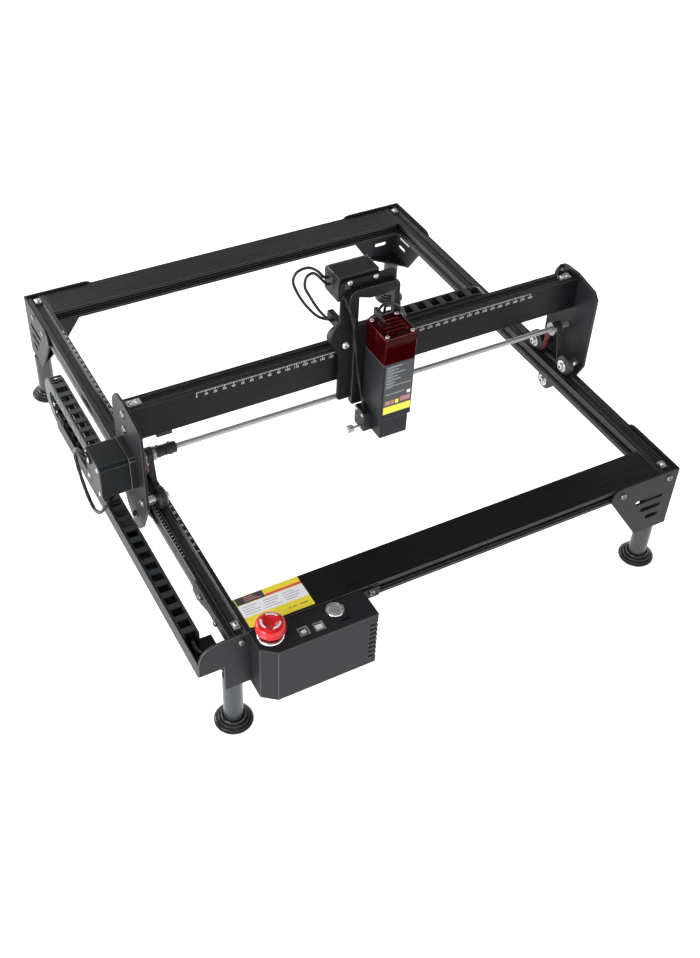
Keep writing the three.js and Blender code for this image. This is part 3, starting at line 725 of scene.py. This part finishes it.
def make_wheels(paints):
    for place, (y, z) in zip(("front", "rear", "lower"), Y_WHEELS):
        for side, x in SIDES:
            wheel(f"y_wheel_{side}_{place}", 0, (y, z), x, paints)
    for place, (x, z) in zip(("left", "right", "lower"), X_WHEELS):
        wheel(f"x_wheel_{place}", 1, (x, z), BEAM_Y, paints)
    screws, plate = Shape(), Shape()
    for y, z in Y_WHEELS:
        screws.screw(0, (y, z), 15.4, 3.4, 4.9)
        screws.screw(0, (y, z), WIDTH - 15.4, -3.4, 4.9)
        plate.screw(0, (y, z), PLATES[0], -2.6, 4.4)
        plate.screw(0, (y, z), PLATES[1], 2.6, 4.4)
        for x, out in ((15.1, 0.7), (WIDTH - 15.1, -0.7)):
            washer = [(3, x), (7.4, x), (7.4, x + out * 0.7), (7.1, x + out), (3, x + out)]
            screws.lathe(washer, 0, (y, z), closed=True)
        for low, high in ((-6.5, 4.3), (519.7, 530.5)):
            screws.rod(0, 4.4, low, high, (y, z))
    for z in (82, 101):
        plate.screw(0, (BEAM_Y, z), PLATES[0], -2.4, 4.2)
        plate.screw(0, (BEAM_Y, z), PLATES[1], 2.4, 4.2)
    piece("gantry_screws", screws, "gantry", paints["steel"])
    piece("plate_screws", plate, "gantry", paints["dark steel"])
    screws = Shape()
    for x, z in X_WHEELS:
        screws.screw(1, (x, z), 207, -2.2, 4.6)
        screws.screw(1, (x, z), 230.4, 3.3, 4.9)
        screws.rod(1, 4.4, 210, 219.6, (x, z))
    for x, z in ((228, 196.3), (257.4, 196.1)):
        screws.screw(1, (x, z), 207, -1.8, 2.9)
    piece("carriage_screws", screws, "carriage", paints["steel"])


def make_drive(paints):
    """Cross shaft, its coupler and toothed pulleys, and the belts that rise over them."""
    y, z = SHAFT

    def sleeve(shape, bore, radius, low, high):
        ends = [(bore, low), (radius, low), (radius, high), (bore, high)]
        shape.lathe(ends, 0, SHAFT, 40, closed=True)

    shape = Shape().rod(0, 3, -9.2, 533, SHAFT)
    piece(
        "cross_shaft_rod", shape, "cross_shaft", paints["shaft"],
        replaces=("cross_shaft",),
    )
    shape = Shape()
    for low, high in ((15, 26.6), (27.2, 39.8)):
        jaw = [
            (3.3, low), (5.6, low), (6.1, low + 0.5), (6.1, high - 0.5), (5.6, high), (3.3, high),
        ]
        shape.lathe(jaw, 0, SHAFT, 40, closed=True)
        middle = (low + high) / 2
        for angle in (40, 220):
            r, turn = 6.05, math.radians(angle)
            centre = (y + r * math.cos(turn), z + r * math.sin(turn))
            shape.rod(0, 1.3, middle - 1.3, middle + 1.3, centre, 12, tag=1)
    sleeve(shape, 3.3, 5.2, 26.6, 27.2)
    piece(
        "coupler_sleeve", shape, "cross_shaft", [paints["plastic"], paints["steel"]],
        replaces=("shaft_coupler",),
    )
    for (side, x), sign in zip(SIDES, (-1, 1)):
        teeth = [(x + sign * along, 6.3) for along in (-3.6, 3.4)]
        shape = Shape().ridged(SHAFT, teeth, 0.55, 80)
        for a, b in ((-7, -3.6), (3.4, 4.4)):
            sleeve(shape, 3.3, 7.8, x + sign * a, x + sign * b)
        piece(
            f"pulley_{side}", shape, "cross_shaft", paints["dark steel"],
            replaces=(f"drive_pulley_{side}",),
        )
        loop = Shape().strip(belt_path(), x - 3, x + 3, 1.2, inner=1)
        coats = [paints["rubber"], paints["belt fabric"]]
        piece(f"belt_rise_{side}", loop, "gantry", coats)
    belt = Shape().box(-5, 529, BEAM_Y - 3, BEAM_Y + 3, 107.2, 108.5)
    piece("x_belt", belt, "gantry", paints["rubber"], bevel=0.2)


def belt_path():
    """(y, z) from under the front roller over the drive pulley to under the rear roller."""
    roller, pulley = 12.75, 7.1  # radii of the belt's middle line
    centre, front = Vector(SHAFT), Vector(Y_WHEELS[0])

    def arc(middle, radius, low, high, steps):
        turns = spread(low, high, steps)
        return [middle + radius * Vector((math.cos(a), math.sin(a))) for a in turns]

    gap = centre - front
    theta = math.atan2(gap.y, gap.x) + math.asin((roller + pulley) / gap.length)
    rise = arc(front, roller, -math.pi / 2, theta - math.pi / 2, 8)
    over = arc(centre, pulley, theta + math.pi / 2, math.pi / 2, 6)
    half = [tuple(p) for p in rise + over]
    return half + [(2 * SHAFT[0] - a, b) for a, b in reversed(half[:-1])]


def spread(low, high, count):
    return [low + (high - low) * i / count for i in range(count + 1)]


# Rulers and labels ---------------------------------------------------------------------------


def number_mesh(text, height):
    """Corner points and faces of a printed number, centred, in millimetres."""
    curve = bpy.data.curves.new("number", "FONT")
    curve.body = text
    curve.size = height * 1.4
    curve.align_x = "CENTER"
    curve.align_y = "CENTER"
    curve.resolution_u = 2
    holder = bpy.data.objects.new("number", curve)
    mesh = bpy.data.meshes.new_from_object(holder)
    found = [tuple(v.co) for v in mesh.vertices], [tuple(p.vertices) for p in mesh.polygons]
    bpy.data.objects.remove(holder)
    bpy.data.meshes.remove(mesh)
    bpy.data.curves.remove(curve)
    return found


def ruler(shape, place, length, height, label, fine=True):
    """Numbers and ticks every 10 mm, with a base line and ticks every 2 mm if fine. place turns
    (along, down from the edge) into x, y, z."""

    def mark(a0, a1, d0, d1):
        shape.face([place(a0, d0), place(a1, d0), place(a1, d1), place(a0, d1)])

    if fine:
        mark(0, length, -0.15, 0.15)
    for i in range(0, length + 1, 2 if fine else 10):
        thick, reach = (0.16, 0.55) if i % 10 else (0.26, 1)
        mark(i - thick, i + thick, 0, height * reach)
    for i in range(0, length + 1, 10):
        verts, faces = number_mesh(str(i), label)
        down = height * 1.2 + label * 0.62
        for face in faces:
            shape.face([place(i + verts[j][0], down - verts[j][1]) for j in face])


def make_rulers(paints):
    shape = Shape()
    ruler(shape, lambda a, d: (64 + a, 214.9, 109.4 - d), 400, 2.4, 2.9)
    piece("beam_ruler", shape, "gantry", paints["white"])
    shape = Shape()
    ruler(shape, lambda a, d: (15 + d, 114.5 + a, 0.1), 400, 0.6, 2.7, fine=False)
    for i in range(33):
        low, high = 114.15 + 5 * i, 114.85 + 5 * i
        shape.face([(1, low, 0.1), (2.7, low, 0.1), (2.7, high, 0.1), (1, high, 0.1)])
    piece("rail_ruler", shape, "frame", paints["white"])


# Materials of the two labels, and the numbers that stand for them in a label's faces
VINYLS = ("yellow", "label white", "band red", "label black", "label grey", "label pink")
YELLOW, WHITE, RED, BLACK, GREY, PINK = range(len(VINYLS))


def make_labels(paints):
    """Plain colour bands on the front beam and the laser head, with no lettering."""
    vinyls = [paints[key] for key in VINYLS]
    shape = Shape()

    def patch(x0, x1, y0, y1, tag, z=0.14):
        shape.face([(x0, y0, z), (x1, y0, z), (x1, y1, z), (x0, y1, z)], tag)

    shape.prism(rounded(21, 88.6, 3, 41.6, 1), 2, 0.04, 0.12, YELLOW)
    patch(21, 88.6, 15.6, 31.6, WHITE)
    patch(50.5, 88.6, 32, 35, RED)
    patch(21.6, 50.2, 32, 41.2, BLACK)
    for row in range(4):
        for column in range(3):
            reach = (15, 17, 12)[(row + column) % 3]
            start = 24 + column * 21
            patch(start, start + reach, 18.6 + row * 3, 19.3 + row * 3, GREY, 0.17)
    for i in range(3):
        patch(30, 46 - 3 * i, 34 + i * 2.2, 35.2 + i * 2.2, PINK, 0.17)
    for x0, x1 in ((64, 66), (68, 72), (76, 84)):
        patch(x0, x1, 8.4, 9.3, BLACK, 0.17)
    piece("beam_label", shape, "frame", vinyls)
    shape = Shape()

    def bar(x0, x1, z0, z1, tag, y=159.9):
        shape.face([(x0, y, z0), (x1, y, z0), (x1, y, z1), (x0, y, z1)], tag)

    bar(247.2, 281, 54.2, 118.4, BLACK, 159.93)
    bar(247.8, 280.6, 55, 64.2, YELLOW)
    start = 249
    for i, end in enumerate((267, 263, 270, 262, 266, 260, 272)):
        z = 115 - i * 4.1
        bar(start, end, z, z + 1.2, GREY)
        bar(start, start + 8, z - 1.6, z - 0.9, GREY)
    bar(268.5, 279, 90, 91.2, GREY)
    bar(249, 272, 80, 81.2, GREY)
    bar(275, 279, 76, 80, WHITE)
    bar(267.5, 279.4, 67.4, 73.4, PINK)
    bar(249.5, 255.5, 66.6, 72, PINK)
    bar(256.5, 260, 66.6, 72, PINK)
    bar(261.4, 265.6, 66.8, 71.6, YELLOW)
    piece("laser_label", shape, "laser_head", vinyls)


# Frame details -------------------------------------------------------------------------------


def make_legs(paints):
    ridges = [
        (0.5, 0), (18.6, 0), (19.6, 0.5), (20, 1.4), (19.9, 2.4), (19, 3), (18.5, 3.3), (18.4, 4.4),
        (17.6, 5.2), (16, 5.5), (15.7, 6), (15.5, 7), (14.6, 7.7), (13, 8), (12.7, 8.6),
        (12.5, 9.3), (11.9, 9.8), (10.05, 9.9),
    ]
    for end, y in (("front", 13), ("rear", DEPTH - 13)):
        for side, x in (("left", 5), ("right", WIDTH - 10)):
            node = f"leg_{end}_{side}"
            top = (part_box(node)[1].z - ORIGIN.z) * 1000
            profile = [(9.2, FLOOR + 9), (10, FLOOR + 9.4), (10, top - 0.6), (9.4, top)]
            pillar = Shape().lathe(profile, 2, (x, y), 56)
            piece(
                node + "_pillar", pillar, "frame", paints["leg"],
                replaces=(node,),
            )
            foot = Shape().lathe([(r, FLOOR + h) for r, h in ridges], 2, (x, y), 64)
            piece(node + "_foot", foot, "frame", paints["foot"], replaces=(node,))


def make_frame_hardware(paints):
    screws, clamps = Shape(), Shape()
    face, far = -SHEET_FACE, DEPTH + SHEET_FACE
    for x, z in ((9.5, -7.5), (WIDTH - 9.5, -7.5), (452.6, -8.9)):
        screws.screw(1, (x, z), face, -2.4, 3.7)
    screws.screw(1, (147, -8), -2.3, -2.4, 3.5)
    for x, z in ((10, -8), (71.4, -8.9), (WIDTH - 10, -8), (452.6, -8.9)):
        screws.screw(1, (x, z), far, 2.2, 3.5)
    for side, out in ((-SHEET_FACE, -2.2), (WIDTH + SHEET_FACE, 2.2)):
        for y in (30, 66, DEPTH - 66, DEPTH - 30):
            screws.screw(0, (y, -9), side, out, 3.5)
    # Clamps that hold the belts at the ends of the rails
    for _, x in SIDES:
        for low, high in ((5, 19), (DEPTH - 19, DEPTH - 5)):
            middle = (low + high) / 2
            clamps.prism(rounded(x - 3.6, x + 3.6, middle - 5, middle + 5, 1), 2, -2.2, 0.7)
            clamps.screw(2, (x, middle), 0.7, 2.6, 2.9)
    piece("frame_hardware", screws, "frame", paints["dark steel"])
    piece("belt_clamps", clamps, "frame", paints["steel"], bevel=0.2)
    clamps = Shape()
    for low, high in ((-5, 9.5), (509.5, 524)):
        clamps.prism(rounded(low, high, BEAM_Y - 4.6, BEAM_Y + 4.6, 1), 2, 108.6, 111.9)
        for x in (low + 4, high - 4):
            clamps.screw(2, (x, BEAM_Y), 111.9, 1.8, 2.7)
    piece("beam_clamps", clamps, "gantry", paints["steel"], bevel=0.2)
    tab = Shape().box(512, 519, 229.8, 231.2, 111.1, 125)
    tab.screw(1, (515.5, 118.6), 229.8, -1.5, 2.2, 1)
    coats = [paints["black powder"], paints["dark steel"]]
    piece("beam_end_tab", tab, "gantry", coats, bevel=0.3)
    # Boards, switches and levers at the left plate, the right plate and under the beam
    switch = Shape().box(-6.4, -5, 196, 208, 48, 62)
    switch.box(-5, 0.5, 198.5, 206, 51, 59, 1).box(0.5, 1, 199.5, 201, 52, 60, 2)
    switch.box(529, 530.3, 249, 262, -3, 9).box(527.4, 529, 252, 259, -1, 7, 1)
    switch.box(20, 36.4, 216.5, 228, 66.4, 71.8, 1).box(22, 34, 218.5, 226, 64.8, 66.4, 1)
    switch.box(23.5, 25, 219, 225, 64.2, 64.8, 2)
    coats = [paints["brown"], paints["plastic"], paints["steel"]]
    piece("limit_switch", switch, "gantry", coats, bevel=0.2)


# Control box ---------------------------------------------------------------------------------


def make_controls(paints):
    x, y = ESTOP
    rim = [
        (8.5, -0.7), (12.6, -0.7), (13.3, 0.1), (13.1, 1), (12.6, 1.8), (11.8, 2.3), (10.4, 2.5),
        (8.5, 2.5),
    ]
    collar = Shape().lathe(rim, 2, (x, y), 64, closed=True)
    piece("estop_ring", collar, "frame", paints["chrome"], replaces=("estop_collar",))
    dome = [
        (8.2, 7.5), (10.6, 7.5), (12.6, 7.9), (13.9, 8.8), (14.4, 10.2), (14.1, 11.3), (13.5, 12),
        (13.9, 12.8), (14.4, 14.2), (14.3, 16), (13.4, 17.8), (11.9, 19.1), (10.2, 19.8), (8.6, 20),
        (7.2, 19.85), (5.9, 19.3), (4.6, 18.8), (0.4, 18.7),
    ]
    cap = Shape().lathe(dome, 2, (x, y), 72)
    for start in (20, 140, 260):
        rings = []
        for a in spread(math.radians(start), math.radians(start + 74), 14):
            ring = [(7.9, 20.06), (9.9, 19.97), (9.9, 19.8), (7.9, 19.8)]
            rings.append([(x + r * math.cos(a), y + r * math.sin(a), z) for r, z in ring])
        cap.rings(rings, tag=1)
    piece(
        "estop_cap", cap, "estop_button", [paints["red"], paints["white"]],
        replaces=("estop_button",),
    )
    x, y = POWER
    rim = [(7.15, -0.9), (8.9, -0.9), (9.1, -0.4), (8.7, 0.3), (7.5, 0.5), (7.15, 0.3)]
    bezel = Shape().lathe(rim, 2, (x, y), 64, closed=True)
    piece("power_bezel", bezel, "frame", paints["chrome"])
    rim = [(6.85, -14), (6.85, -0.1), (6.5, 0.3), (5.9, 0.45), (5.7, 0.25), (0.4, 0.25)]
    cap = Shape().lathe(rim, 2, (x, y), 64)
    piece(
        "power_cap", cap, "power_button", paints["cap"],
        replaces=("power_button",),
    )
    sockets = Shape()
    for x, y, wide in ((64, -21, 2.4), (79.5, -22, 3.6)):
        outer = rounded(x - 5.2, x + 5.2, y - 5.2, y + 5.2, 0.8)
        inner = rounded(x - 4.4, x + 4.4, y - 4.4, y + 4.4, 0.5)
        steps = ((outer, -9), (outer, -1.4), (inner, -1.4), (inner, -8.4))
        sockets.rings([[(a, b, z) for a, b in rim] for rim, z in steps])
        tall = wide * 0.7
        sockets.box(x - wide, x + wide, y - tall, y + tall, -8.4, -1.9, 1)
    coats = [paints["cap"], paints["white"]]
    piece("box_sockets", sockets, "frame", coats, bevel=0.15)


# Motors and laser head -----------------------------------------------------------------------


def make_motors(paints):
    y, z = SHAFT[0] - 2, SHAFT[1]
    shape = Shape()
    bolt = 15.5  # half of the spacing of the motor's screws
    for dy in (-bolt, bolt):
        for dz in (-bolt, bolt):
            shape.screw(0, (y + dy, z + dz), -48.4, -1.0, 2.3)
    piece("y_motor_screws", shape, "gantry", paints["steel"])
    plug = Shape().prism(rounded(y + 2, y + 14, z + 10, z + 18, 1), 0, -50.4, -48.2)
    plug.prism(rounded(y + 3.4, y + 12.6, z + 11.4, z + 16.6, 0.6), 0, -50.8, -50.3, 1)
    coats = [paints["plastic"], paints["white"]]
    piece("y_motor_plug", plug, "gantry", coats, bevel=0.2)
    shape = Shape().prism(rounded(222, 229, 190, 197, 1), 1, 206.2, 207)
    shape.box(216.2, 217.4, 221, 233, 184, 197)
    piece("x_motor_plug", shape, "carriage", paints["plastic"], bevel=0.3)


def make_laser(paints):
    x0, x1, y0, y1 = LASER
    shape = Shape()
    for x in (x0 + 4, x1 - 4):
        for y in (y0 + 4, y1 - 4):
            shape.screw(2, (x, y), 152, 1.3, 2.3)
    for x in (x0 + 4.5, x1 - 4.5):
        shape.screw(1, (x, 47.5), 161.8, -1.4, 1.6)
    shape.screw(0, (194, 43.6), 235.9, -1.2, 1.9)
    shape.screw(0, (181.5, 43), 235.9, -1.2, 1.9)
    piece("laser_screws", shape, "laser_head", paints["steel"])
    middle = ((x0 + x1) / 2, (y0 + y1) / 2)
    rim = [(15.5, 148.6), (16.3, 148.6), (16.3, 138), (15.5, 138)]
    fan = Shape().lathe(rim, 2, middle, 56, closed=True)
    fan.rod(2, 6, 139, 148.5, middle)
    blades, chord, twist = 7, 0.32, 0.03  # angles in radians, twist for each millimetre outwards
    for i in range(blades):
        angle = 2 * math.pi * i / blades
        rings = []
        for r in (5.6, 9, 12, 15):
            lean = angle + twist * r
            (xa, ya), (xb, yb) = (
                (middle[0] + r * math.cos(a), middle[1] + r * math.sin(a))
                for a in (lean, lean + chord)
            )
            rings.append([(xa, ya, 147), (xb, yb, 140.5), (xb, yb, 140), (xa, ya, 146.5)])
        fan.rings(rings)
    fan.box(x0 + 4, x1 - 4, y0 + 3, y1 - 4, 119.8, 138)
    fan.box(x0 + 4, x1 - 4, y0 + 2.2, y0 + 2.9, 121, 149)
    piece("laser_fan", fan, "laser_head", paints["plastic"])
    rim = [(219.3, 3.8), (219.9, 4.2), (225.4, 4.2), (226, 3.8)]
    knob = Shape().ridged(KNOB, rim, 0.45, 72)
    knob.rod(0, 1.75, 226, 243.4, KNOB, 24)
    piece(
        "thumbscrew_knob", knob, "thumbscrew", paints["steel"],
        replaces=("thumbscrew",),
    )


# Stage ---------------------------------------------------------------------------------------


def make_stage():
    scene = bpy.context.scene
    scene.view_settings.view_transform = "Standard"
    # A round floor whose rim curves up, so that no horizon shows in low views
    flat, curve, sides = 4.5, 1.5, 64
    profile = [(0.01, 0), (flat, 0)]
    for a in spread(0, math.pi / 2, 8)[1:]:
        profile.append((flat + curve * math.sin(a), curve - curve * math.cos(a)))
    profile.append((flat + curve, 2.6))
    verts, faces = [], []
    for radius, height in profile:
        for i in range(sides):
            angle = 2 * math.pi * i / sides
            verts.append((radius * math.cos(angle), radius * math.sin(angle), height))
    for ring in range(len(profile) - 1):
        for i in range(sides):
            a, b = ring * sides + i, ring * sides + (i + 1) % sides
            faces.append((a, a + sides, b + sides, b))
    faces.append(tuple(range(sides)))
    mesh = bpy.data.meshes.new("floor")
    mesh.from_pydata(verts, [], faces)
    mesh.shade_smooth()
    floor = bpy.data.objects.new("floor", mesh)
    scene.collection.objects.link(floor)
    bright = {"Emission_Color": (1, 1, 1, 1), "Emission_Strength": 0.8}
    mesh.materials.append(Paint("pale_floor", (0.9, 0.9, 0.9), 0.9, **bright).material)
    world = bpy.data.worlds.new("studio")
    scene.world = world
    world.use_nodes = True
    backdrop = world.node_tree.nodes["Background"]
    backdrop.inputs["Color"].default_value = (1, 1, 1, 1)
    backdrop.inputs["Strength"].default_value = 0.25
    for name, place, target, size, power in (
        ("key_left", (-1.7, -0.75, 0.75), (0, 0, 0.1), 1.0, 20),
        ("top", (-0.5, -0.5, 2.2), (0, 0.1, 0.1), 1.6, 5),
        ("low_left", (-1.5, 1.3, 0.5), (0, 0, 0.1), 0.9, 14),
        ("back", (-0.25, 1.5, 1.0), (-0.1, 0.3, 0), 0.7, 4),
    ):
        data = bpy.data.lights.new(name, "AREA")
        data.size = size
        data.energy = power
        light = bpy.data.objects.new(name, data)
        light.location = place
        aim = Vector(target) - Vector(place)
        light.rotation_euler = aim.to_track_quat("-Z", "Y").to_euler()
        scene.collection.objects.link(light)


make_camera()
PAINTS = make_materials()
make_leads(PAINTS)
finish_nodes(PAINTS)
make_chains(PAINTS)
make_wheels(PAINTS)
make_drive(PAINTS)
make_rulers(PAINTS)
make_labels(PAINTS)
make_legs(PAINTS)
make_frame_hardware(PAINTS)
make_controls(PAINTS)
make_motors(PAINTS)
make_laser(PAINTS)
make_stage()
